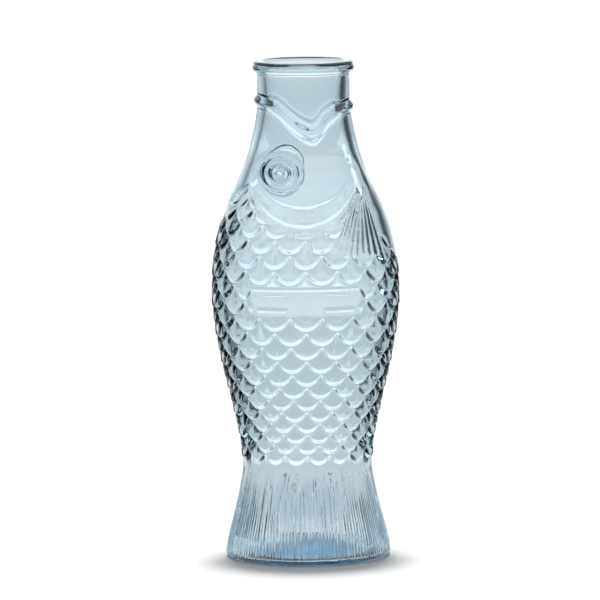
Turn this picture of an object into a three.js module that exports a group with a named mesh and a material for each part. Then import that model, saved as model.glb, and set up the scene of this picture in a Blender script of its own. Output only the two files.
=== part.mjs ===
// A carafe of pale blue mould-blown glass in the shape of a fish that stands on its tail.
// Its open mouth is the pouring rim. Millimetres, +Z up, origin on the table under the middle of the base.
// +X is the fish's belly, -X its back, and -Y the front flank. The back flank mirrors the front one.
import * as THREE from "three";
import { LoftGeometry } from "three/addons/geometries/LoftGeometry.js";

// Outline of the glass: the tail and belly are measured up from the table and the head down from the rim,
// each with the half sizes of its oval section
const HEIGHT = 280;
const HEEL_ROUND = 6;
const HEEL_HALF_WIDTH = 46;
const HEEL_HALF_DEPTH = 39;
const TAIL_HEIGHT = 28;
const TAIL_HALF_WIDTH = 40.7;
const TAIL_HALF_DEPTH = 33.8;
const WAIST_HEIGHT = 55.5;
const WAIST_HALF_WIDTH = 36;
const WAIST_HALF_DEPTH = 29.3;
const FLANK_HEIGHT = 89;
const FLANK_HALF_WIDTH = 41.2;
const FLANK_HALF_DEPTH = 33.8;
const BELLY_HEIGHT = 152;
const BELLY_HALF_WIDTH = 51.9;
const BELLY_HALF_DEPTH = 42.6;
const SHOULDER_BELOW_RIM = 85;
const SHOULDER_HALF_WIDTH = 45;
const SHOULDER_HALF_DEPTH = 37.8;
const CHEEK_BELOW_RIM = 65;
const CHEEK_HALF_WIDTH = 36.5;
const CHEEK_HALF_DEPTH = 32;
const NAPE_BELOW_RIM = 45;
const NAPE_HALF_WIDTH = 29.8;
const NAPE_HALF_DEPTH = 28.2;
const NECK_BELOW_RIM = 22;
const NECK_RADIUS = 25.8;

// Glass thickness
const BASE_FLOOR = 6.5;
const FLOOR_ROUND = 6;
const PUSH_UP = 4.5;
const RESTING_RING = 5;
const TAIL_WALL = 4.6;
const BODY_WALL = 3.8;
const HEAD_WALL = 4.6;
const NECK_WALL = 4.2;
const RIM_THICKNESS = 5;
const RIM_PROUD = 2.6;

// Scales: the row length is a share of the half width, because the same number goes round at every height
const SCALES_AROUND = 18;
const FACETS_PER_SCALE = 4;
const SMOOTH_FACETS = 48;
const SCALE_ROW_SHARE = 0.168;
const SCALE_PROUD = 1.2;
const SCALE_SINK = 0.2;
const SCALE_RISER = 0.6;
const SCALLOP = 0.68;
const SCALES_ABOVE_SHOULDER = 12;
const TAIL_LAND = 2;

// Relief that lies on the wall, measured along the curved glass from the middle of the flank
const SEAT_GAP = 0.3;
const RELIEF_EDGE = 0.4;
const CLEAR_BESIDE = 5;
const CLEAR_BELOW = 1;
const LIP_BELOW_NECK = 2.5;
const LIP_DIP = 15;
const LIP_SHARPNESS = 6;
const LIP_ACROSS = 3.6;
const LIP_TILT = 1.8;
const LIP_HALF_HEIGHT = 4.4;
const LIP_PROUD = 2.1;
const EYE_ACROSS = -13.9;
const EYE_ABOVE_CHEEK = 4.8;
const EYE_RADIUS = 11.5;
const EYE_RING_PROUD = 1.5;
const EYE_GROOVE_PROUD = 0.7;
const GILL_ACROSS = -1;
const GILL_ABOVE_CHEEK = 5.4;
const GILL_HALF_WIDTH = 33;
const GILL_DROP = 30;
const GILL_SWEEP_DEGREES = 75;
const GILL_BAND = 6.8;
const GILL_PROUD = 1.4;
const FIN_ROOT_ACROSS = 35;
const FIN_ROOT_BELOW_CHEEK = 5;
const FIN_ROOT_WIDTH = 6;
const FIN_LENGTH = 33;
const FIN_TIP_ACROSS = 33;
const FIN_TIP_WIDTH = 35;
const FIN_RAYS = 9;
const FIN_PROUD = 1.5;
const PANEL_BELOW_FIN = 20.6;
const PANEL_HALF_WIDTH = 29.5;
const PANEL_HALF_HEIGHT = 7.7;
const PANEL_PROUD = 1.1;
const PANEL_LEDGE = 1.6;
const PANEL_LEDGE_PROUD = 1.8;

const TURN = 2 * Math.PI;
const QUARTER = TURN / 4;

const SHOULDER_HEIGHT = HEIGHT - SHOULDER_BELOW_RIM;
const CHEEK_HEIGHT = HEIGHT - CHEEK_BELOW_RIM;
const NAPE_HEIGHT = HEIGHT - NAPE_BELOW_RIM;
const NECK_HEIGHT = HEIGHT - NECK_BELOW_RIM;

// The half width and half depth of the outside at any height, as smooth curves through the outline
const stationHeights = [
  HEEL_ROUND, TAIL_HEIGHT, WAIST_HEIGHT, FLANK_HEIGHT, BELLY_HEIGHT,
  SHOULDER_HEIGHT, CHEEK_HEIGHT, NAPE_HEIGHT, NECK_HEIGHT, HEIGHT,
];
const widths = new THREE.CubicInterpolant(stationHeights, [
  HEEL_HALF_WIDTH, TAIL_HALF_WIDTH, WAIST_HALF_WIDTH, FLANK_HALF_WIDTH, BELLY_HALF_WIDTH,
  SHOULDER_HALF_WIDTH, CHEEK_HALF_WIDTH, NAPE_HALF_WIDTH, NECK_RADIUS, NECK_RADIUS,
], 1);
const depths = new THREE.CubicInterpolant(stationHeights, [
  HEEL_HALF_DEPTH, TAIL_HALF_DEPTH, WAIST_HALF_DEPTH, FLANK_HALF_DEPTH, BELLY_HALF_DEPTH,
  SHOULDER_HALF_DEPTH, CHEEK_HALF_DEPTH, NAPE_HALF_DEPTH, NECK_RADIUS, NECK_RADIUS,
], 1);
const halfWidth = (height) => widths.evaluate(height)[0];
const halfDepth = (height) => depths.evaluate(height)[0];

// A point on the outside of the glass: angle 0 is the middle of the front flank, a quarter turn the belly
function onWall(angle, height, proud) {
  const x = (halfWidth(height) + proud) * Math.sin(angle);
  const y = -(halfDepth(height) + proud) * Math.cos(angle);
  return new THREE.Vector3(x, y, height);
}

// The same point, found by its distance along the glass from the middle of the front flank
function onFlank(across, height, proud) {
  return onWall(across / halfWidth(height), height, proud);
}

// A loop of points right round the carafe
function loop(pointAt, facets = SMOOTH_FACETS) {
  return Array.from({ length: facets }, (_, facet) => pointAt((facet / facets) * TURN));
}

// A level oval loop of any size
function oval(width, depth, height) {
  return loop((angle) => new THREE.Vector3(width * Math.sin(angle), -depth * Math.cos(angle), height));
}

// Level loops on the wall, evenly spaced from one height to another
function wallLoops(from, to, steps, proud, facets) {
  return Array.from({ length: steps + 1 }, (_, step) => {
    const height = THREE.MathUtils.lerp(from, to, step / steps);
    return loop((angle) => onWall(angle, height, proud), facets);
  });
}

// A ring of glass round the hollow, skinned up the outside and down the inside
function ringOfGlass(outside, inside) {
  const loops = [...outside, ...inside];
  return new LoftGeometry([...loops, loops[0]]);
}

// A piece of relief on the front flank: each line runs down its face, and its back lies just off the wall
function relief(lines) {
  const sections = lines.map((line) => {
    const face = line.map(({ across, height, proud }) => onFlank(across, height, SEAT_GAP + proud));
    const back = line.map(({ across, height }) => onFlank(across, height, SEAT_GAP));
    return [...face, ...back.reverse()];
  });
  return new LoftGeometry(sections, { capStart: true, capEnd: true });
}

// Levels at which one zone of the wall meets the next, face to face
const BASE_TOP = BASE_FLOOR + FLOOR_ROUND;
const TAIL_TOP = WAIST_HEIGHT - TAIL_LAND;
const BODY_TOP = SHOULDER_HEIGHT + SCALES_ABOVE_SHOULDER;
const NECK_TOP = HEIGHT - RIM_THICKNESS;

// Rows of scales from the waist up, each with its lowest point and its length.
// Every other row is shifted by half a scale.
const scaleRows = [];
let tip = WAIST_HEIGHT;
let length = SCALE_ROW_SHARE * halfWidth(tip);
while (tip + length < BODY_TOP) {
  scaleRows.push({ tip, length, shift: scaleRows.length % 2 === 0 ? 0.5 : 0 });
  tip += length;
  length = SCALE_ROW_SHARE * halfWidth(tip);
}

// Places of the relief on the front flank
const eyeHeight = CHEEK_HEIGHT + EYE_ABOVE_CHEEK;
const gillHeight = CHEEK_HEIGHT + GILL_ABOVE_CHEEK;
const finRootHeight = CHEEK_HEIGHT - FIN_ROOT_BELOW_CHEEK;
const finTipHeight = finRootHeight - FIN_LENGTH;
const panelHeight = finTipHeight - PANEL_BELOW_FIN - PANEL_HALF_HEIGHT;

// Places on the wall that stay smooth under the gill cover, the fin and the panel
function isUnderRelief(angle, height) {
  const across = halfWidth(height) * Math.asin(Math.sin(angle));
  const gillReach = Math.hypot(
    (across - GILL_ACROSS) / (GILL_HALF_WIDTH + CLEAR_BESIDE),
    (height - gillHeight) / (GILL_DROP + CLEAR_BELOW),
  );
  const downFin = THREE.MathUtils.clamp((finRootHeight - height) / FIN_LENGTH, 0, 1);
  const finMiddle = THREE.MathUtils.lerp(FIN_ROOT_ACROSS, FIN_TIP_ACROSS, downFin);
  const finWidth = THREE.MathUtils.lerp(FIN_ROOT_WIDTH, FIN_TIP_WIDTH, downFin);
  const besideFin = Math.abs(across - finMiddle) < finWidth / 2 + CLEAR_BESIDE;
  const aboveFinTip = height > finTipHeight - CLEAR_BELOW;
  const besidePanel = Math.abs(across) < PANEL_HALF_WIDTH + CLEAR_BESIDE;
  const levelWithPanel = Math.abs(height - panelHeight) < PANEL_HALF_HEIGHT + CLEAR_BELOW;
  return gillReach < 1 || (besideFin && aboveFinTip) || (besidePanel && levelWithPanel);
}

// Thick floor, domed up from below, with a flat ring to stand on and a rounded heel
function baseFloor() {
  const ringWidth = HEEL_HALF_WIDTH - HEEL_ROUND;
  const ringDepth = HEEL_HALF_DEPTH - HEEL_ROUND;
  const dome = [0, 0.35, 0.7, 1];
  const underside = dome.map((share) => oval(
    (ringWidth - RESTING_RING) * share,
    (ringDepth - RESTING_RING) * share,
    PUSH_UP * (1 - share ** 2),
  ));
  const heel = [0, 1, 2, 3, 4].map((step) => {
    const sweep = (step / 4) * QUARTER;
    const out = HEEL_ROUND * Math.sin(sweep);
    return oval(ringWidth + out, ringDepth + out, HEEL_ROUND * (1 - Math.cos(sweep)));
  });
  const innerWidth = halfWidth(BASE_TOP) - TAIL_WALL;
  const innerDepth = halfDepth(BASE_TOP) - TAIL_WALL;
  const corner = [0, 1, 2, 3].map((step) => {
    const sweep = (step / 3) * QUARTER;
    const inset = FLOOR_ROUND * (1 - Math.cos(sweep));
    return oval(innerWidth - inset, innerDepth - inset, BASE_TOP - FLOOR_ROUND * Math.sin(sweep));
  });
  const floor = dome.slice(0, -1).reverse().map((share) => oval(
    (innerWidth - FLOOR_ROUND) * share,
    (innerDepth - FLOOR_ROUND) * share,
    BASE_FLOOR + PUSH_UP * (1 - share ** 2),
  ));
  const heelTop = loop((angle) => onWall(angle, BASE_TOP, 0));
  return new LoftGeometry([...underside, ...heel, heelTop, ...corner, ...floor]);
}

// Flared tail between the floor and the waist
function tailWall() {
  const outside = wallLoops(BASE_TOP, TAIL_TOP, 5, 0);
  return ringOfGlass(outside, wallLoops(TAIL_TOP, BASE_TOP, 3, -TAIL_WALL));
}

// Body wall with overlapping scales: below each scalloped edge the glass steps in to the next row
function scaledBody() {
  const facets = SCALES_AROUND * FACETS_PER_SCALE;
  const outside = [loop((angle) => onWall(angle, TAIL_TOP, 0), facets)];
  for (const row of scaleRows) {
    const edgeAt = (angle) => {
      const place = (angle / TURN) * SCALES_AROUND + row.shift;
      const fromMiddle = 2 * Math.abs(place - Math.round(place));
      const drop = 1 - Math.sqrt(1 - fromMiddle ** 2);
      return { height: row.tip + SCALLOP * row.length * drop, crown: 1 - fromMiddle ** 2 / 2 };
    };
    const isSmooth = (angle, height) => (
      [0, 0.5, 1].some((share) => isUnderRelief(angle, height + share * row.length))
    );
    const foot = (angle) => {
      const height = edgeAt(angle).height - SCALE_RISER;
      return onWall(angle, height, isSmooth(angle, height) ? 0 : SCALE_SINK);
    };
    const edge = (angle) => {
      const { height, crown } = edgeAt(angle);
      return onWall(angle, height, isSmooth(angle, height) ? 0 : SCALE_PROUD * crown);
    };
    outside.push(loop(foot, facets), loop(edge, facets));
  }
  outside.push(loop((angle) => onWall(angle, BODY_TOP, 0), facets));
  return ringOfGlass(outside, wallLoops(BODY_TOP, TAIL_TOP, 6, -BODY_WALL, facets));
}

// Smooth head, drawn in to the neck
function headWall() {
  const outside = wallLoops(BODY_TOP, NECK_HEIGHT, 8, 0);
  return ringOfGlass(outside, wallLoops(NECK_HEIGHT, BODY_TOP, 4, -HEAD_WALL));
}

// Straight round neck
function neckWall() {
  const outside = wallLoops(NECK_HEIGHT, NECK_TOP, 2, 0);
  return ringOfGlass(outside, wallLoops(NECK_TOP, NECK_HEIGHT, 1, -NECK_WALL));
}

// Rounded bead round the pouring mouth
function rimBead() {
  const boreRadius = NECK_RADIUS - NECK_WALL;
  const innerRound = RIM_THICKNESS / 2;
  const bead = [0, 1, 2, 3, 4, 5, 6].map((step) => {
    const sweep = (step / 6) * 2 * QUARTER;
    const radius = NECK_RADIUS + RIM_PROUD * Math.sin(sweep);
    return oval(radius, radius, NECK_TOP + (RIM_THICKNESS / 2) * (1 - Math.cos(sweep)));
  });
  const lip = [0, 1, 2, 3].map((step) => {
    const sweep = (step / 3) * QUARTER;
    const radius = boreRadius + innerRound * (1 - Math.sin(sweep));
    return oval(radius, radius, HEIGHT - innerRound * (1 - Math.cos(sweep)));
  });
  return ringOfGlass(bead, [...lip, oval(boreRadius, boreRadius, NECK_TOP)]);
}

// The fish's lips: a raised band round the neck that dips to a V on both flanks
function lipBand() {
  const middleAt = (angle) => {
    const alongFlank = Math.asin(Math.sin(angle)) - LIP_ACROSS / NECK_RADIUS;
    const dip = LIP_DIP * Math.cos(alongFlank) ** LIP_SHARPNESS;
    return NECK_HEIGHT - LIP_BELOW_NECK - LIP_TILT * Math.sin(angle) - dip;
  };
  const along = (share, proud) => loop((angle) => (
    onWall(angle, middleAt(angle) + share * LIP_HALF_HEIGHT, proud)
  ));
  const face = [
    along(-1, SEAT_GAP + RELIEF_EDGE),
    along(-0.6, SEAT_GAP + LIP_PROUD * 0.8),
    along(0, SEAT_GAP + LIP_PROUD),
    along(0.6, SEAT_GAP + LIP_PROUD * 0.8),
    along(1, SEAT_GAP + RELIEF_EDGE),
  ];
  const back = [along(1, SEAT_GAP), along(0, SEAT_GAP), along(-1, SEAT_GAP)];
  return ringOfGlass(face, back);
}

// Round eye: a raised pupil inside raised rings
function eye() {
  const spokes = 24;
  const ringAt = (share, proud) => Array.from({ length: spokes }, (_, spoke) => {
    const turn = (spoke / spokes) * TURN;
    const across = EYE_ACROSS + EYE_RADIUS * share * Math.cos(turn);
    return onFlank(across, eyeHeight + EYE_RADIUS * share * Math.sin(turn), SEAT_GAP + proud);
  });
  const shares = [0, 0.18, 0.34, 0.5, 0.64, 0.78, 0.9, 1];
  const back = [0, 0.36, 0.68, 1].map((share) => ringAt(share, 0));
  const face = shares.map((share, place) => {
    const isRing = place % 2 === 0;
    return ringAt(share, isRing ? EYE_RING_PROUD : EYE_GROOVE_PROUD);
  });
  face[face.length - 1] = ringAt(1, RELIEF_EDGE);
  return new LoftGeometry([...back, ...face.reverse()]);
}

// Gill cover: a crescent band under the eye with a raised rib along both edges
function gillCover() {
  const steps = 22;
  const reach = THREE.MathUtils.degToRad(GILL_SWEEP_DEGREES);
  const stretch = GILL_HALF_WIDTH / GILL_DROP;
  const ribs = [
    { share: 0, proud: RELIEF_EDGE },
    { share: 0.2, proud: GILL_PROUD },
    { share: 0.5, proud: GILL_PROUD / 2 },
    { share: 0.8, proud: GILL_PROUD },
    { share: 1, proud: RELIEF_EDGE },
  ];
  return relief(Array.from({ length: steps + 1 }, (_, step) => {
    const sweep = THREE.MathUtils.lerp(-reach, reach, step / steps);
    return ribs.map(({ share, proud }) => {
      const radius = GILL_DROP - GILL_BAND * (1 - share);
      const across = GILL_ACROSS + radius * stretch * Math.sin(sweep);
      return { across, height: gillHeight - radius * Math.cos(sweep), proud };
    });
  }));
}

// Side fin: rays that fan out down the flank from a narrow root behind the gill cover
function sideFin() {
  const lines = 2 * FIN_RAYS;
  return relief(Array.from({ length: lines + 1 }, (_, line) => {
    const side = line / lines - 0.5;
    const proud = line % 2 === 0 ? RELIEF_EDGE : FIN_PROUD;
    return [0, 0.25, 0.5, 0.75, 1].map((down) => {
      const middle = THREE.MathUtils.lerp(FIN_ROOT_ACROSS, FIN_TIP_ACROSS, down);
      const width = THREE.MathUtils.lerp(FIN_ROOT_WIDTH, FIN_TIP_WIDTH, down);
      return { across: middle + side * width, height: finRootHeight - FIN_LENGTH * down, proud };
    });
  }));
}

// Plain panel across the belly, with a ledge along its top
function labelPanel() {
  const steps = 14;
  const ledgeFoot = PANEL_HALF_HEIGHT - PANEL_LEDGE;
  const profile = [
    { up: PANEL_HALF_HEIGHT, proud: PANEL_LEDGE_PROUD },
    { up: ledgeFoot, proud: PANEL_LEDGE_PROUD },
    { up: ledgeFoot - PANEL_LEDGE / 2, proud: PANEL_PROUD },
    { up: 0, proud: PANEL_PROUD },
    { up: -PANEL_HALF_HEIGHT, proud: PANEL_PROUD },
  ];
  return relief(Array.from({ length: steps + 1 }, (_, step) => {
    const across = THREE.MathUtils.lerp(-PANEL_HALF_WIDTH, PANEL_HALF_WIDTH, step / steps);
    return profile.map(({ up, proud }) => ({ across, height: panelHeight + up, proud }));
  }));
}

// Clear pale blue glass, deeper in colour where it is thick
function glass(color) {
  return new THREE.MeshStandardMaterial({ color, roughness: 0.05, transparent: true, opacity: 0.45 });
}

function piece(name, geometry, color) {
  const mesh = new THREE.Mesh(geometry, glass(color));
  mesh.name = name;
  return mesh;
}

const PALE_BLUE = 0xc3d6df;
const DEEP_BLUE = 0x8fb2cf;

const carafe = new THREE.Group();
carafe.add(
  piece("base_floor", baseFloor(), DEEP_BLUE),
  piece("tail_wall", tailWall(), PALE_BLUE),
  piece("scaled_body", scaledBody(), PALE_BLUE),
  piece("head_wall", headWall(), PALE_BLUE),
  piece("neck_wall", neckWall(), PALE_BLUE),
  piece("rim_bead", rimBead(), DEEP_BLUE),
  piece("lip_band", lipBand(), PALE_BLUE),
);

// The relief of the front flank, and the same mirrored on the back flank
for (const [flankName, mirror] of [["front", 1], ["back", -1]]) {
  const flank = new THREE.Group();
  flank.scale.y = mirror;
  flank.add(
    piece(`eye_${flankName}`, eye(), PALE_BLUE),
    piece(`gill_cover_${flankName}`, gillCover(), PALE_BLUE),
    piece(`side_fin_${flankName}`, sideFin(), PALE_BLUE),
    piece(`label_panel_${flankName}`, labelPanel(), PALE_BLUE),
  );
  carafe.add(flank);
}

export default carafe;
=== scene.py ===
import math

import bmesh
import bpy
import numpy as np
from mathutils import Matrix, Vector


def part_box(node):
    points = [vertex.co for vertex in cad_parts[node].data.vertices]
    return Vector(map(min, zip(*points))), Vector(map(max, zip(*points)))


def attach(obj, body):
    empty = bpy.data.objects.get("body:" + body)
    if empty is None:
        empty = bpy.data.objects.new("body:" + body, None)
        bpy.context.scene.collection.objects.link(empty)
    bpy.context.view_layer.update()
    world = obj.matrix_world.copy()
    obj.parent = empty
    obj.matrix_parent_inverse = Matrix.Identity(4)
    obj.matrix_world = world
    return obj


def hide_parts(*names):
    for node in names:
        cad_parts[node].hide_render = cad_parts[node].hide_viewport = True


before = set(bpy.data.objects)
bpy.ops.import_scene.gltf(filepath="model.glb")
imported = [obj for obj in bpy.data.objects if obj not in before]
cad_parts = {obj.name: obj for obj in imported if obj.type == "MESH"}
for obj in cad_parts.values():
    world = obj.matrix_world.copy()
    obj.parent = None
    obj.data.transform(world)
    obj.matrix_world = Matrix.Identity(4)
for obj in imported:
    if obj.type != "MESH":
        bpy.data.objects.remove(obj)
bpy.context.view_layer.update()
scene = bpy.context.scene

# Outline of the carafe
# One piece of mould-blown glass in the shape of a fish that stands on its tail. All sizes are millimetres.
# Each station is a height with the half width and half depth there, and smooth curves run through them all.
MM = 1000
STATIONS = np.array([
    (0, 46.6, 39.6), (6, 46.0, 39.0), (28, 40.7, 33.8), (55.5, 36.0, 29.3), (89, 41.4, 34.0),
    (112, 46.9, 38.3), (152, 51.9, 42.6), (195, 44.8, 37.6), (215, 35.6, 31.3), (235, 29.6, 28.0),
    (258, 25.8, 25.8), (280, 25.8, 25.8),
])
RIM_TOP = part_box("rim_bead")[1].z * MM
TAIL_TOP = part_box("tail_wall")[1].z * MM
BODY_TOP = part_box("scaled_body")[1].z * MM


def smooth_curve(column):
    heights, values = STATIONS[:, 0], STATIONS[:, column]
    slopes = np.gradient(values, heights)
    slopes[-2:] = 0

    def at(z):
        place = np.clip(np.searchsorted(heights, z) - 1, 0, len(heights) - 2)
        span = heights[place + 1] - heights[place]
        s = np.clip((z - heights[place]) / span, 0, 1)
        return (values[place] * (1 + 2 * s) * (1 - s) ** 2 + slopes[place] * span * s * (1 - s) ** 2
                + values[place + 1] * s * s * (3 - 2 * s) + slopes[place + 1] * span * s * s * (s - 1))

    return at


half_width, half_depth = smooth_curve(1), smooth_curve(2)

# Rings of the glass sheet
# The whole skin is one sheet, laid out flat by angle and by ring, from under the base, up the outside,
# over the rim and down the inside to the floor. In the body the rings follow the scalloped scale edges.
SCALES_AROUND = 18
COLUMNS_PER_SCALE = 12
COLUMNS = SCALES_AROUND * COLUMNS_PER_SCALE
angles = (np.arange(COLUMNS + 1) / COLUMNS - 0.5) * 2 * math.pi
level = np.ones(COLUMNS + 1)
rings = []


def add_ring(height, width=None, depth=None, proud=0.0):
    height = height * level
    on_wall = width is None
    rings.append((
        height,
        half_width(height) if on_wall else width * level,
        half_depth(height) if on_wall else depth * level,
        proud * level,
        on_wall * level,
    ))


# Base
# Glass floor, blown in one with the wall and pushed up from below to a blunt peak.
# It has a flat ring to stand on and a rounded heel.
HEEL_ROUND = 2.7
HEEL_STEPS = 5
RESTING_RING = 6.5
PUSH_UP = 7.6
PEAK_BLUNT = 0.02
PUSH_UP_SHARES = (0, 0.12, 0.22, 0.35, 0.5, 0.7, 0.85, 1)
ring_width, ring_depth = STATIONS[1, 1:] - HEEL_ROUND


def peak(share):
    top, foot = math.sqrt(PEAK_BLUNT), math.sqrt(1 + PEAK_BLUNT)
    return (foot - math.sqrt(share ** 2 + PEAK_BLUNT)) / (foot - top)


for share in PUSH_UP_SHARES:
    add_ring(PUSH_UP * peak(share), (ring_width - RESTING_RING) * share, (ring_depth - RESTING_RING) * share)
heel_first = len(rings)
for sweep in np.linspace(0, math.pi / 2, HEEL_STEPS + 1)[:-1]:
    out = HEEL_ROUND * math.sin(sweep)
    add_ring(HEEL_ROUND * (1 - math.cos(sweep)), ring_width + out, ring_depth + out)

# Tail
# Flared tail that the carafe stands on. Fine grooves are moulded in the outside of the glass. They start
# below the scales and fan out down to the heel, each with its own depth, shift, top and breaks.
TAIL_RINGS = 11
TAIL_RINGS_TOP = TAIL_TOP - 2.5
RIBS = 144
RIB_DEPTH = 2.0
RIB_HALF = 0.24
RIB_SHIFT = 0.4
RIBS_TOP = TAIL_TOP - 3
RIB_TOP_SPREAD = 16
RIB_RUN_OUT = 12
RIB_FOOT = (0.4, 2.6)
tail_first = len(rings)
for height in np.linspace(HEEL_ROUND, TAIL_RINGS_TOP, TAIL_RINGS):
    add_ring(height)
rng = np.random.default_rng(7)
rib_depths = 0.3 + 0.7 * rng.random(RIBS) ** 2
rib_waves = rng.random((RIBS, 4))


def ramp(x, low, high):
    s = np.clip((x - low) / (high - low), 0, 1)
    return s * s * (3 - 2 * s)


def near_ribs(x, z):
    return z < RIBS_TOP


def rib_relief(z, turn):
    place = (turn / (2 * math.pi) + 0.5) * RIBS + 0.3 * np.sin(3 * turn)
    rib = np.round(place).astype(int) % RIBS
    quickness, start, shift, shortness = rib_waves[rib].T
    aside = place - np.round(place) - RIB_SHIFT * (shift - 0.5)
    groove = np.clip(1 - np.abs(aside) / RIB_HALF, 0, 1)
    broken = 0.7 + 0.3 * np.sin(z * (0.15 + 0.3 * quickness) + 6.3 * start)
    top = RIBS_TOP - RIB_TOP_SPREAD * shortness
    length = ramp(z, top, top - RIB_RUN_OUT) * ramp(z, *RIB_FOOT)
    return -RIB_DEPTH * rib_depths[rib] * groove * broken * length


# Gill cover
# The smooth head ends over the scales in a raised edge, moulded in the glass, that swings round below the
# eye to the spine and the belly. It is lower on the back flank, which shows through the front one.
GILL_X, GILL_Z, GILL_RADIUS = -1.0, 220.4, 30.0
SPINE_X, SPINE_Z, SPINE_SLOPE = -30, 211, 0.85
BELLY_X, BELLY_Z, BELLY_SLOPE = 29, 208, -1.5
GILL_STEP = 1.2
GILL_EDGE = (-0.6, 1.2)
GILL_FADE = (232, 214)
GILL_END = (32, 25)


def gill_line(x):
    arc = GILL_Z - np.sqrt(np.clip(GILL_RADIUS ** 2 - (x - GILL_X) ** 2, 0, None))
    side = np.where(x < 0, SPINE_Z + (x - SPINE_X) * SPINE_SLOPE, BELLY_Z + (x - BELLY_X) * BELLY_SLOPE)
    return np.where(np.abs(x - GILL_X) < GILL_RADIUS - 1, np.minimum(arc, SPINE_Z), side)


def near_gill(x, z):
    return (np.abs(z - gill_line(x)) < 5) & (np.abs(x) < GILL_RADIUS) & (z < SPINE_Z + 2)


def by_flank(turn, back, front):
    return back + (front - back) * ramp(np.cos(turn), -0.3, 0.3)


def gill_relief(x, z, turn):
    edge = GILL_STEP * ramp(z - gill_line(x), *GILL_EDGE) * by_flank(turn, 0.6, 1)
    return edge * ramp(z, *GILL_FADE) * ramp(x, *GILL_END)


# Panel
# Plain panel across the belly with a ledge along its top and two short bars below, moulded in the glass.
# The rings run level under the ledge and the bars. The back panel is lower.
PANEL_TOP, PANEL_FOOT, PANEL_HALF = 157.0, 141.0, 29.5
PANEL_RISE = 0.3
PANEL_EDGE = 1.2
LEDGE = PANEL_TOP - 0.7
BAR, BAR_NEAR, BAR_FAR, BAR_END = LEDGE - 11.8, 11.5, 26.0, 0.4
LINE_RISE, LINE_WIDTH = 1.3, 0.75
LINE_RINGS = (-1.9, -1.3, -0.7, 0, 0.65, 1.25, 1.75)


def across_panel(x):
    return ramp(np.abs(x), PANEL_HALF + 3, PANEL_HALF)


def in_panel(x):
    return ramp(np.abs(x), PANEL_HALF + PANEL_EDGE, PANEL_HALF - PANEL_EDGE / 2)


def ridge(x, middle, width):
    return np.exp(-((x - middle) / width) ** 2)


def panel_relief(x, z, turn):
    face = ramp(z, PANEL_FOOT - PANEL_EDGE, PANEL_FOOT) * ramp(z, PANEL_TOP + PANEL_EDGE, PANEL_TOP)
    ledge = LINE_RISE * ridge(z, LEDGE, LINE_WIDTH)
    aside = np.abs(x)
    bar_near = ramp(aside, BAR_NEAR - BAR_END, BAR_NEAR + BAR_END)
    bar_far = ramp(aside, BAR_FAR + BAR_END, BAR_FAR - BAR_END)
    bars = LINE_RISE * bar_near * bar_far * ridge(z, BAR, LINE_WIDTH)
    return ((PANEL_RISE * face + ledge) * in_panel(x) + bars) * by_flank(turn, 0.35, 1)


# Scales
# Overlapping rows of scales, moulded in the glass and shifted by half a scale from row to row. Each is a
# pillow with a round, bevelled lower edge. They are flatter on the back flank and level under the panel.
SCALE_PROUD = 1.6
ROW_SHARE = 0.168
RISE, ROUND = 0.87, 0.9
NARROW_ROW = 4.4
# How far up the scale, in millimetres on the bevel and as a share behind it, and how proud it is there
BEVEL = ((0.0, 0.0), (0.25, 0.07), (0.9, 0.35), (1.7, 0.7), (2.4, 0.94), (3.0, 1.0))
BACK = ((0.5, 0.82), (0.93, 0.12))


def row_height(tip):
    return ROW_SHARE * half_width(tip)


def hides_scales(x, z):
    under_panel = across_panel(x) * (z > PANEL_FOOT - 2) * (z < PANEL_TOP - 1)
    return np.maximum(ramp(z - gill_line(x), -9, -4), under_panel)


tips = [TAIL_TOP + 2]
while tips[-1] < BODY_TOP - 3:
    tips.append(tips[-1] + row_height(tips[-1]))
edges, from_middle = [], []
for row, tip in enumerate(tips):
    place = angles / (2 * math.pi) * SCALES_AROUND + (0.5 if row % 2 == 0 else 0)
    aside = 2 * np.abs(place - np.round(place))
    drop = (1 - np.sqrt(1 - (ROUND * aside) ** 2)) / (1 - math.sqrt(1 - ROUND ** 2))
    fade = ramp(tip, BODY_TOP, BODY_TOP - 9)
    seen = fade * (1 - hides_scales(half_width(tip) * np.sin(angles), tip))
    edges.append(tip + RISE * seen * row_height(tip) * drop)
    from_middle.append(aside)
for row in range(len(tips) - 1):
    squeeze = np.minimum(1, (edges[row + 1] - edges[row]) / NARROW_ROW)
    crown = SCALE_PROUD * (1 - 0.3 * from_middle[row] ** 2) * by_flank(angles, 0.3, 1) * squeeze
    heights = [edges[row] + up * squeeze for up, _ in BEVEL]
    start = heights[-1]
    heights += [start + (edges[row + 1] - start) * up for up, _ in BACK]
    for line in (LEDGE, BAR):
        if tips[row] < line < tips[row + 1]:
            level_part = across_panel(half_width(tips[row]) * np.sin(angles))
            heights[:-1] = [h + level_part * (line + offset - h) for h, offset in zip(heights, LINE_RINGS)]
            heights[-1] = np.maximum(heights[-1], heights[-2] + 0.05)
    for height, (_, share) in zip(heights, BEVEL + BACK):
        add_ring(height, proud=share * crown)

# Head
# Smooth glass head, drawn in to the straight round neck.
# Its rings lie close together for the eyes, the gill edge and the lips.
HEAD_STEP = 1.5
LIPS_OVER = 264
NECK_HEIGHTS = (267, 270, 272)
for height in (*np.arange(BODY_TOP, LIPS_OVER, HEAD_STEP), *NECK_HEIGHTS):
    add_ring(height)
outside_last = len(rings) - 1

# Eye
# Round eye on both flanks, a disc with raised rings and fine grooves, moulded in the glass of the head.
# Each ring: its radius, its width, and how far it rises or, below zero, sinks.
EYE_X, EYE_Z, EYE_RADIUS = -12.4, 219.1, 13.0
EYE_DISC, EYE_PUPIL = 1.6, 0.9
PUPIL_EDGE = (5.2, 3.6)
EYE_RINGS = ((1.9, 0.4, -0.9), (4.5, 0.38, -1.3), (6.3, 1.0, 1.2), (8.7, 0.42, -1.0), (10.2, 0.8, 0.9))


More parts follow.
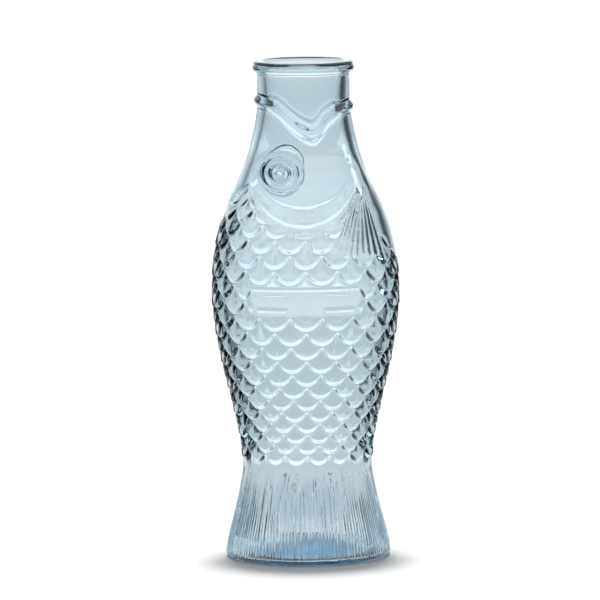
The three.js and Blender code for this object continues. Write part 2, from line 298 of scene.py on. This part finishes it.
def eye_reach(x, z):
    return np.hypot(x - EYE_X, z - EYE_Z)


def eye_relief(x, z, turn):
    reach = eye_reach(x, z)
    disc = EYE_DISC * ramp(reach, EYE_RADIUS - 0.3, EYE_RADIUS - 1.4) + EYE_PUPIL * ramp(reach, *PUPIL_EDGE)
    circles = sum(rise * ridge(reach, radius, width) for radius, width, rise in EYE_RINGS)
    return (disc + circles) * by_flank(turn, 0.5, 1.1)


# Side fin
# Fin on both flanks, moulded in the glass, whose rays fan out down the wall from a narrow root.
# The root lies behind the gill cover, near the belly.
FIN_ROOT_X, FIN_ROOT_Z, FIN_END = 30.6, 214.0, 173.0
FIN_LEFT, FIN_RIGHT = 15.5, 12.5
FIN_RAYS = 8
FIN_RISE, RAY_RISE, ROOT_RISE = 0.5, 0.9, 0.8


def fin_down(z):
    return np.clip((FIN_ROOT_Z - z) / (FIN_ROOT_Z - FIN_END), 0, 1.2)


def fin_across(x, z):
    down = fin_down(z)
    return (x - FIN_ROOT_X + FIN_LEFT * down) / np.maximum((FIN_LEFT + FIN_RIGHT) * down, 0.5)


def near_fin(x, z):
    return (np.abs(fin_across(x, z) - 0.5) < 0.6) & (z > FIN_END - 2) & (z < FIN_ROOT_Z + 2)


def fin_relief(x, z):
    down, across = fin_down(z), fin_across(x, z)
    inside = ramp(across, -0.06, 0.03) * ramp(across, 1.06, 0.97)
    inside = inside * ramp(z, FIN_END - 0.5, FIN_END + 0.9) * ramp(z, FIN_ROOT_Z + 1, FIN_ROOT_Z - 2)
    rays = 0.5 + 0.5 * np.cos(2 * math.pi * FIN_RAYS * across)
    blade = FIN_RISE * ramp(down, 0.08, 0.3) + RAY_RISE * rays * ramp(down, 0.1, 0.45)
    root = ridge(x, FIN_ROOT_X, 5.0) * ridge(z, FIN_ROOT_Z - 4, 9.0)
    return inside * blade + ROOT_RISE * root


# Lips
# Raised band of glass round the neck, moulded with it, that dips to a V on both flanks.
# Each corner of its middle line: degrees round from the middle of the flank, and the height there.
LIP_LINE = np.array([
    (-95, 258.2), (-80, 258.0), (-46, 256.2), (-30, 252.6), (-18, 248.0), (-6, 243.6), (5, 240.6),
    (12, 239.8), (20, 243.6), (28, 248.2), (48, 253.0), (80, 254.6), (95, 254.8),
])
LIP_RISE, LIP_HALF, LIP_SWELL = 2.1, 3.1, 1.5
LIP_EASE = 0.05


def lip_line(flank_turn):
    return np.interp(flank_turn, np.radians(LIP_LINE[:, 0]), LIP_LINE[:, 1])


def lip_relief(z, turn):
    flank_turn = np.arcsin(np.clip(np.sin(turn), -1, 1))
    middle = lip_line(flank_turn)
    for _ in range(2):
        middle = (middle + lip_line(flank_turn - LIP_EASE) + lip_line(flank_turn + LIP_EASE)) / 3
    half = LIP_HALF + LIP_SWELL * ridge(flank_turn, 0.2, 0.5)
    place = np.clip(np.abs(z - middle) / half, 0, 1)
    return LIP_RISE * (1 - place ** 2) ** 1.2


# Rim
# Rounded, fire-polished bead round the pouring mouth, with a shallow groove below its top edge.
# It rolls over to the bore. Each corner: how far out from the neck and how far below the top.
NECK_RADIUS = STATIONS[-1, 1]
NECK_WALL = 4.2
BEAD = (
    (0.15, 7.2), (0.5, 6.7), (1.2, 6.2), (2.0, 5.6), (2.5, 4.6), (2.6, 3.6), (2.5, 2.8), (2.2, 2.35),
    (1.75, 1.95), (2.0, 1.5), (2.1, 1.1), (1.8, 0.55), (1.2, 0.2), (0.3, 0.0), (-1.0, 0.05), (-2.2, 0.5),
    (-3.2, 1.4), (-3.8, 2.6), (-NECK_WALL, 4.5),
)
for out, below in BEAD:
    add_ring(RIM_TOP - below, NECK_RADIUS + out, NECK_RADIUS + out)

# Hollow
# Smooth inside of the glass, a little uneven because it is blown, down to a domed floor.
# The wall thickens up to the neck and thins again to the mouth.
HOLLOW_RINGS = 18
HOLLOW_TOP = RIM_TOP - 6
WALL_HEIGHTS = (9, 90, 200, 230, 255, 268, 274)
WALL_THICK = (4.0, 4.0, 4.2, 4.8, 5.6, 5.4, NECK_WALL)
FLOOR_EDGE = 2.4
FLOOR_ROUND, FLOOR_ROUND_STEPS = 1.0, 3
DOME = 8.9
DOME_SHARES = (0.95, 0.85, 0.74, 0.63, 0.52, 0.42, 0.32, 0.22, 0.12, 0)
for height in np.linspace(HOLLOW_TOP, FLOOR_EDGE + FLOOR_ROUND, HOLLOW_RINGS):
    wall = np.interp(height, WALL_HEIGHTS, WALL_THICK)
    uneven = 0.12 * np.sin(3 * angles + height / 9) + 0.1 * np.sin(5 * angles - height / 14)
    uneven = uneven * ramp(height, 270, 240)
    add_ring(height, half_width(height) - wall + uneven, half_depth(height) - wall + uneven)
floor_width, floor_depth = rings[-1][1][0], rings[-1][2][0]
for sweep in np.linspace(0, math.pi / 2, FLOOR_ROUND_STEPS + 1)[1:]:
    inset = FLOOR_ROUND * (1 - math.cos(sweep))
    add_ring(FLOOR_EDGE + FLOOR_ROUND * (1 - math.sin(sweep)), floor_width - inset, floor_depth - inset)
for share in DOME_SHARES:
    add_ring(
        FLOOR_EDGE + DOME * peak(share),
        (floor_width - FLOOR_ROUND) * share,
        (floor_depth - FLOOR_ROUND) * share,
    )

# Flat sheet
# A grid of columns and rings, still flat, that becomes the skin of the glass.
# It is cut finer where the eyes, the fins, the gill edge and the tail ribs need it.
ring_table = np.array([np.stack(ring) for ring in rings])
RINGS = len(rings) - 1
bm = bmesh.new()
bmesh.ops.create_grid(bm, x_segments=COLUMNS, y_segments=RINGS, size=0.5)
for vert in bm.verts:
    vert.co = Vector((round((vert.co.x + 0.5) * COLUMNS), round((vert.co.y + 0.5) * RINGS), 0))


def sheet_at(flat):
    column = np.clip(flat[:, 0].astype(int), 0, COLUMNS - 1)
    ring = np.clip(flat[:, 1].astype(int), 0, RINGS - 1)
    across, along = (flat[:, 0] - column)[:, None], (flat[:, 1] - ring)[:, None]
    low = ring_table[ring, :, column] * (1 - across) + ring_table[ring, :, column + 1] * across
    high = ring_table[ring + 1, :, column] * (1 - across) + ring_table[ring + 1, :, column + 1] * across
    z, width, depth, proud, on_wall = (low * (1 - along) + high * along).T
    on_wall = on_wall > 0.99
    width = np.where(on_wall, half_width(z), width)
    depth = np.where(on_wall, half_depth(z), depth)
    turn = (flat[:, 0] / COLUMNS - 0.5) * 2 * math.pi
    return z, width, depth, proud, on_wall, turn


def cut_finer(wanted, cuts, way="both"):
    flat = np.array([vert.co for vert in bm.verts])
    z, width, _, _, _, turn = sheet_at(flat)
    outside = (flat[:, 1] <= outside_last) & (flat[:, 1] > heel_first + 1)
    chosen = wanted(width * np.sin(turn), z) & outside
    bm.verts.index_update()
    chosen_edges = []
    for edge in bm.edges:
        one, other = edge.verts
        runs = "upright" if abs(one.co.y - other.co.y) > 0.01 else "around"
        if chosen[one.index] and chosen[other.index] and way in ("both", runs):
            chosen_edges.append(edge)
    bmesh.ops.subdivide_edges(bm, edges=chosen_edges, cuts=cuts, use_grid_fill=True)


cut_finer(lambda x, z: eye_reach(x, z) < EYE_RADIUS + 2.5, 1)
cut_finer(lambda x, z: eye_reach(x, z) < EYE_RADIUS + 1, 1)
cut_finer(lambda x, z: eye_reach(x, z) < EYE_RADIUS - 5.5, 1, "upright")
cut_finer(near_fin, 1)
cut_finer(near_gill, 2, "upright")
cut_finer(near_ribs, 5, "around")

# Skin of the glass
# The sheet is bent round to the carafe and closed, and the relief is pushed out along the wall's own normal.
# Scales fade out under the head, the fins and the panels. A bare strip lies below the back panel.
BARE_STRIP = 10
SLOPE_STEP = 0.05
MERGE = 0.002
flat = np.array([vert.co for vert in bm.verts])
z, width, depth, scale_proud, on_wall, turn = sheet_at(flat)
x = width * np.sin(turn)
above_gill = z - gill_line(x)
fin_place = fin_across(x, z)
bare_foot = PANEL_FOOT - BARE_STRIP * ramp(np.cos(turn), 0.1, -0.1)
bare_top = PANEL_TOP + PANEL_EDGE / 2
bare = np.maximum.reduce([
    ramp(above_gill, -6.0, -3.5),
    ramp(fin_place, -0.1, 0.0) * ramp(fin_place, 1.1, 1.0) * ramp(z, FIN_END - 1.5, FIN_END - 0.2),
    in_panel(x) * ramp(z, bare_foot - 2, bare_foot) * ramp(z, bare_top + PANEL_EDGE / 2, bare_top),
])
tucked = 0.5 + 0.5 * ramp(above_gill, -3, -9)
scales = scale_proud * tucked * (1 - bare)
on_flank = ramp(np.abs(np.cos(turn)), 0.05, 0.25)
ornaments = (eye_relief(x, z, turn) + fin_relief(x, z) + panel_relief(x, z, turn)) * on_flank
ribs = rib_relief(z, turn)
wall_relief = scales + gill_relief(x, z, turn) + ornaments + lip_relief(z, turn) + ribs
on_heel = (flat[:, 1] >= heel_first) & (flat[:, 1] < tail_first)
relief = np.where(on_wall, wall_relief, ribs * on_heel)
slope_x = (half_width(z + SLOPE_STEP) - half_width(z - SLOPE_STEP)) / (2 * SLOPE_STEP)
slope_y = (half_depth(z + SLOPE_STEP) - half_depth(z - SLOPE_STEP)) / (2 * SLOPE_STEP)
safe_width, safe_depth = np.maximum(width, 1e-6), np.maximum(depth, 1e-6)
normal = np.stack([
    np.sin(turn) / safe_width,
    -np.cos(turn) / safe_depth,
    -(np.sin(turn) ** 2 * slope_x / safe_width + np.cos(turn) ** 2 * slope_y / safe_depth),
], 1)
normal /= np.linalg.norm(normal, axis=1)[:, None]
points = np.stack([x, -depth * np.cos(turn), z], 1) + normal * relief[:, None]
for vert, point in zip(bm.verts, points):
    vert.co = Vector(point)
bmesh.ops.remove_doubles(bm, verts=bm.verts, dist=MERGE)
bmesh.ops.recalc_face_normals(bm, faces=bm.faces)
bmesh.ops.scale(bm, vec=(1 / MM, 1 / MM, 1 / MM), verts=bm.verts)
for face in bm.faces:
    face.smooth = True
mesh = bpy.data.meshes.new("glass_carafe")
bm.to_mesh(mesh)
bm.free()
carafe = bpy.data.objects.new("glass_carafe", mesh)
scene.collection.objects.link(carafe)

# Pale blue glass
# Clear glass, tinted through its thickness, with a fire-polished skin that is very slightly wavy.
# The one skin stands for all the solids, because joints between them would show inside clear glass.
glass = bpy.data.materials.new("pale_blue_glass")
glass.use_nodes = True
nodes, links = glass.node_tree.nodes, glass.node_tree.links
skin = nodes["Principled BSDF"]
skin.inputs["Base Color"].default_value = (1, 1, 1, 1)
skin.inputs["Roughness"].default_value = 0.0
skin.inputs["IOR"].default_value = 1.5
skin.inputs["Transmission Weight"].default_value = 1.0
tint = nodes.new("ShaderNodeVolumeAbsorption")
tint.inputs["Color"].default_value = (0.04, 0.5, 0.7, 1)
tint.inputs["Density"].default_value = 42
place = nodes.new("ShaderNodeTexCoord")
waves = nodes.new("ShaderNodeTexNoise")
waves.inputs["Scale"].default_value = 90
wavy = nodes.new("ShaderNodeBump")
wavy.inputs["Strength"].default_value = 0.04
wavy.inputs["Distance"].default_value = 0.002
links.new(tint.outputs["Volume"], nodes["Material Output"].inputs["Volume"])
links.new(place.outputs["Object"], waves.inputs["Vector"])
links.new(waves.outputs["Fac"], wavy.inputs["Height"])
links.new(wavy.outputs["Normal"], skin.inputs["Normal"])
mesh.materials.append(glass)
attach(carafe, "root")
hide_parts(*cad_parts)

# Camera
# A long lens from a little above, with the slight lean of the photo.
# From here on sizes are metres.
CAMERA_LEAN = -0.64
camera_place = Vector((-0.0032, -2.8, 0.51))
camera_aim = Vector((-0.0032, 0, 0.145))
camera_data = bpy.data.cameras.new("camera")
camera_data.sensor_width = 36
camera_data.lens = 301.5
camera_data.clip_end = 50
camera = bpy.data.objects.new("camera", camera_data)
scene.collection.objects.link(camera)
look = (camera_aim - camera_place).to_track_quat("-Z", "Y").to_matrix().to_4x4()
lean = Matrix.Rotation(math.radians(CAMERA_LEAN), 4, "Z")
camera.matrix_world = Matrix.Translation(camera_place) @ look @ lean
scene.camera = camera

# Floor
# White sweep that keeps the soft shadow under the base. The glass sees instead a painted glow by distance:
# painted blue light, mottled, under the base, a painted dark shade ring at the heel, a painted bright glow
# close by, and a cool grey farther out, which is painted bluish shade nearest the carafe.
FLOOR_HALF = 8
FLOOR_DROP = 0.0004
TONE_REACH = 2.5
# Painted light and shade under the base, by metres out: blue light through the glass, darkening to a heel
# shade ring
UNDER_BASE_LIGHT_AND_SHADE = (
    (0.042, (0.28, 0.48, 0.69)), (0.053, (0.21, 0.39, 0.58)),
    (0.061, (0.09, 0.18, 0.28)), (0.066, (0.06, 0.12, 0.2)),
)
# Painted glow above white close by, then painted shade round the carafe: metres out and brightness
GLOW_AND_SHADE_FARTHER_OUT = (
    (0.072, 1.05), (0.12, 1.05), (0.15, 0.82), (0.36, 0.8),
    (0.55, 0.82), (0.7, 0.87), (0.9, 1.04), (1.2, 1.04),
)
FAR_TONE = 0.88
bm = bmesh.new()
bmesh.ops.create_grid(
    bm, x_segments=1, y_segments=1, size=FLOOR_HALF, matrix=Matrix.Translation((0, 0, -FLOOR_DROP)))
floor_mesh = bpy.data.meshes.new("floor")
bm.to_mesh(floor_mesh)
bm.free()
floor = bpy.data.objects.new("floor", floor_mesh)
scene.collection.objects.link(floor)
white = bpy.data.materials.new("white_floor")
white.use_nodes = True
nodes, links = white.node_tree.nodes, white.node_tree.links
paper = nodes["Principled BSDF"]
paper.inputs["Base Color"].default_value = (0.97, 0.97, 0.97, 1)
paper.inputs["Roughness"].default_value = 1.0
paper.inputs["Specular IOR Level"].default_value = 0.0
place = nodes.new("ShaderNodeTexCoord")
oval = nodes.new("ShaderNodeVectorMath")
oval.operation = "MULTIPLY"
oval.inputs[1].default_value = (ring_depth / ring_width, 1, 1)
away = nodes.new("ShaderNodeVectorMath")
away.operation = "LENGTH"
mottle = nodes.new("ShaderNodeTexNoise")
mottle.inputs["Scale"].default_value = 330
stir = nodes.new("ShaderNodeMath")
stir.operation = "MULTIPLY_ADD"
stir.inputs[1].default_value = 0.07
reach = nodes.new("ShaderNodeMath")
reach.operation = "DIVIDE"
reach.inputs[1].default_value = TONE_REACH
tone = nodes.new("ShaderNodeValToRGB")
tone_stops = tone.color_ramp.elements


# Darker greys take a blue cast, as painted shade lit through the glass
def shade_tinted_blue(bright):
    blue = 0.3 * max(0, 1 - bright)
    return bright - 0.5 * blue, bright, bright + 0.25 * blue


tone_stops[0].color = (*UNDER_BASE_LIGHT_AND_SHADE[0][1], 1)
tone_stops[1].color = (*shade_tinted_blue(FAR_TONE), 1)
for metres, colour in UNDER_BASE_LIGHT_AND_SHADE + tuple((metres, shade_tinted_blue(bright)) for metres, bright in GLOW_AND_SHADE_FARTHER_OUT):
    stop = tone_stops.new(metres / TONE_REACH)
    stop.color = (*colour, 1)
# This glow, seen only by the glass, carries the painted light and shade in place of the floor's lit colour
glow = nodes.new("ShaderNodeEmission")
path = nodes.new("ShaderNodeLightPath")
by_glass = nodes.new("ShaderNodeMath")
by_glass.operation = "MAXIMUM"
mix = nodes.new("ShaderNodeMixShader")
links.new(place.outputs["Object"], oval.inputs[0])
links.new(oval.outputs["Vector"], away.inputs[0])
links.new(place.outputs["Object"], mottle.inputs["Vector"])
links.new(mottle.outputs["Fac"], stir.inputs[0])
links.new(away.outputs["Value"], stir.inputs[2])
links.new(stir.outputs["Value"], reach.inputs[0])
links.new(reach.outputs["Value"], tone.inputs["Fac"])
links.new(tone.outputs["Color"], glow.inputs["Color"])
links.new(path.outputs["Is Glossy Ray"], by_glass.inputs[0])
links.new(path.outputs["Is Transmission Ray"], by_glass.inputs[1])
links.new(by_glass.outputs["Value"], mix.inputs["Fac"])
links.new(paper.outputs["BSDF"], mix.inputs[1])
links.new(glow.outputs["Emission"], mix.inputs[2])
links.new(mix.outputs["Shader"], nodes["Material Output"].inputs["Surface"])
floor_mesh.materials.append(white)

# Studio boards
# A skirt on the floor and a round wall of boards, open at the back, that turn with the camera and aren't in
# the picture. The wall is lighter on the left. It draws the dark lines along the edges of the glass.
BOARD_NEAR, BOARD_FAR, BOARD_HEIGHT = 0.1, 0.9, 0.5
BOARD_LIFT = 0.0015
BOARD_SEGMENTS = 96
SKIRT_TOP, WALL_FOOT = 0.01, 0.05
# Each stop of the wall: degrees to the right of straight back, brightness and cover
WALL_STOPS = (
    (-178, 0.03, 1), (-74, 0.03, 1), (-60, 0.14, 1), (-48, 0.38, 1), (-37, 0.58, 0.87), (-28, 0.6, 0.45),
    (-19, 0.5, 0), (17, 0.4, 0), (24, 0.3, 0.45), (31, 0.17, 0.9), (40, 0.1, 1), (52, 0.08, 1),
    (100, 0.06, 1), (178, 0.03, 1),
)
# The skirt is painted shade on the floor towards the sides, as only the glass sees it
# Each stop of the skirt: degrees to the right of straight back, and brightness
SKIRT_STOPS = (
    (-178, 0.1), (-100, 0.12), (-76, 0.26), (-62, 0.42), (-50, 0.62), (-40, 0.8), (-30, 0.85), (-20, 0.8),
    (20, 0.9), (40, 0.9), (50, 0.78), (62, 0.58), (76, 0.38), (100, 0.14), (178, 0.1),
)
bm = bmesh.new()
bmesh.ops.create_circle(
    bm, segments=BOARD_SEGMENTS, radius=BOARD_NEAR, matrix=Matrix.Translation((0, 0, BOARD_LIFT)))
skirt_parts = bmesh.ops.extrude_edge_only(bm, edges=bm.edges[:])["geom"]
skirt_verts = [part for part in skirt_parts if isinstance(part, bmesh.types.BMVert)]
skirt_edges = [part for part in skirt_parts if isinstance(part, bmesh.types.BMEdge)]
bmesh.ops.scale(bm, vec=(BOARD_FAR / BOARD_NEAR, BOARD_FAR / BOARD_NEAR, 1), verts=skirt_verts)
wall_parts = bmesh.ops.extrude_edge_only(bm, edges=skirt_edges)["geom"]
wall_verts = [part for part in wall_parts if isinstance(part, bmesh.types.BMVert)]
bmesh.ops.translate(bm, vec=(0, 0, BOARD_HEIGHT), verts=wall_verts)
board_mesh = bpy.data.meshes.new("studio_boards")
bm.to_mesh(board_mesh)
bm.free()
boards = bpy.data.objects.new("studio_boards", board_mesh)
scene.collection.objects.link(boards)
# The boards glow instead of taking light: their tones are painted light and shade that only the glass sees.
board_glow = bpy.data.materials.new("board_glow")
board_glow.use_nodes = True
nodes, links = board_glow.node_tree.nodes, board_glow.node_tree.links
nodes.remove(nodes["Principled BSDF"])
place = nodes.new("ShaderNodeTexCoord")
round_angle = nodes.new("ShaderNodeTexGradient")
round_angle.gradient_type = "RADIAL"
wall_tone = nodes.new("ShaderNodeValToRGB")
skirt_tone = nodes.new("ShaderNodeValToRGB")
for tone, stops in ((wall_tone, WALL_STOPS), (skirt_tone, SKIRT_STOPS)):
    tone_stops = tone.color_ramp.elements
    for degrees, bright, *cover in stops:
        stop = tone_stops.new(((90 - degrees) / 360 + 0.5) % 1)
        stop.color = (bright, bright, bright, cover[0] if cover else 1)
    tone_stops.remove(tone_stops[0])
    tone_stops.remove(tone_stops[-1])
height = nodes.new("ShaderNodeSeparateXYZ")
up_wall = nodes.new("ShaderNodeMapRange")
up_wall.inputs["From Min"].default_value = SKIRT_TOP
up_wall.inputs["From Max"].default_value = WALL_FOOT
blend = nodes.new("ShaderNodeMix")
blend.data_type = "RGBA"
shine = nodes.new("ShaderNodeEmission")
clear = nodes.new("ShaderNodeBsdfTransparent")
fade = nodes.new("ShaderNodeMixShader")
links.new(place.outputs["Object"], round_angle.inputs["Vector"])
links.new(round_angle.outputs["Fac"], wall_tone.inputs["Fac"])
links.new(round_angle.outputs["Fac"], skirt_tone.inputs["Fac"])
links.new(place.outputs["Object"], height.inputs["Vector"])
links.new(height.outputs["Z"], up_wall.inputs["Value"])
links.new(up_wall.outputs["Result"], blend.inputs["Factor"])
links.new(skirt_tone.outputs["Color"], blend.inputs[6])
links.new(wall_tone.outputs["Color"], blend.inputs[7])
links.new(blend.outputs[2], shine.inputs["Color"])
links.new(wall_tone.outputs["Alpha"], fade.inputs["Fac"])
links.new(clear.outputs["BSDF"], fade.inputs[1])
links.new(shine.outputs["Emission"], fade.inputs[2])
links.new(fade.outputs["Shader"], nodes["Material Output"].inputs["Surface"])
board_mesh.materials.append(board_glow)

# Highlight card
# A soft white card to the right and a little behind, which the head and the fin reflect.
# It glows most in its middle and fades out to its edges. Like the boards, it turns with the camera.
CARD_WIDTH, CARD_HEIGHT = 0.36, 0.4
card_place = Vector((0.88, 0.19, 0.44))
card_aim = Vector((0, 0, 0.215))
bm = bmesh.new()
bmesh.ops.create_grid(bm, x_segments=1, y_segments=1, size=0.5)
card_mesh = bpy.data.meshes.new("highlight_card")
bm.to_mesh(card_mesh)
bm.free()
card = bpy.data.objects.new("highlight_card", card_mesh)
scene.collection.objects.link(card)
facing = (card_aim - card_place).to_track_quat("Z", "Y").to_matrix().to_4x4()
card.matrix_world = Matrix.Translation(card_place) @ facing @ Matrix.Diagonal((CARD_WIDTH, CARD_HEIGHT, 1, 1))
card_glow = bpy.data.materials.new("card_glow")
card_glow.use_nodes = True
nodes, links = card_glow.node_tree.nodes, card_glow.node_tree.links
nodes.remove(nodes["Principled BSDF"])
place = nodes.new("ShaderNodeTexCoord")
widen = nodes.new("ShaderNodeVectorMath")
widen.operation = "SCALE"
widen.inputs["Scale"].default_value = 2.0
soft_edge = nodes.new("ShaderNodeTexGradient")
soft_edge.gradient_type = "QUADRATIC_SPHERE"
power = nodes.new("ShaderNodeMath")
power.operation = "MULTIPLY"
power.inputs[1].default_value = 12.0
card_light = nodes.new("ShaderNodeEmission")
links.new(place.outputs["Object"], widen.inputs[0])
links.new(widen.outputs["Vector"], soft_edge.inputs["Vector"])
links.new(soft_edge.outputs["Fac"], power.inputs[0])
links.new(power.outputs["Value"], card_light.inputs["Strength"])
links.new(card_light.outputs["Emission"], nodes["Material Output"].inputs["Surface"])
card_mesh.materials.append(card_glow)
for helper in (boards, card):
    helper.parent = camera
    helper.matrix_parent_inverse = camera.matrix_world.inverted()
    helper.visible_camera = False
    helper.visible_diffuse = False
    helper.visible_shadow = False

# Light
# A bright band round the room under a dim one, which only the glass shows, so that its edges shine.
# A soft lamp almost overhead throws the short shadow forward, and a broad one fills it.
ROOM_ENDS = 1.1
# Each band: its height as a share of straight up, and its brightness
ROOM_BANDS = ((0.04, 1.35), (0.3, 1.35), (0.38, 0.6), (0.5, 0.6), (0.7, 1.0))
# Each lamp: its name, strength, width and tilt in degrees, and colour
LAMPS = (("overhead", 2.4, 10, -7, (1, 0.97, 0.95)), ("fill", 1.2, 130, 0, (0.9, 0.96, 1)))
world = bpy.data.worlds.new("room")
scene.world = world
world.use_nodes = True
nodes, links = world.node_tree.nodes, world.node_tree.links
place = nodes.new("ShaderNodeTexCoord")
split = nodes.new("ShaderNodeSeparateXYZ")
tone = nodes.new("ShaderNodeValToRGB")
tone_stops = tone.color_ramp.elements
for end in tone_stops:
    end.color = (ROOM_ENDS, ROOM_ENDS, ROOM_ENDS, 1)
for height, bright in ROOM_BANDS:
    stop = tone_stops.new(height)
    stop.color = (bright, bright, bright, 1)
links.new(place.outputs["Generated"], split.inputs["Vector"])
links.new(split.outputs["Z"], tone.inputs["Fac"])
links.new(tone.outputs["Color"], nodes["Background"].inputs["Color"])
world.cycles_visibility.diffuse = False
for name, strength, spread, tilt, colour in LAMPS:
    lamp_data = bpy.data.lights.new(name, "SUN")
    lamp_data.color = colour
    lamp_data.energy = strength
    lamp_data.angle = math.radians(spread)
    lamp = bpy.data.objects.new(name, lamp_data)
    lamp.rotation_euler = (math.radians(tilt), 0, 0)
    lamp.visible_glossy = False
    lamp.visible_transmission = False
    scene.collection.objects.link(lamp)

scene.view_settings.view_transform = "Standard"
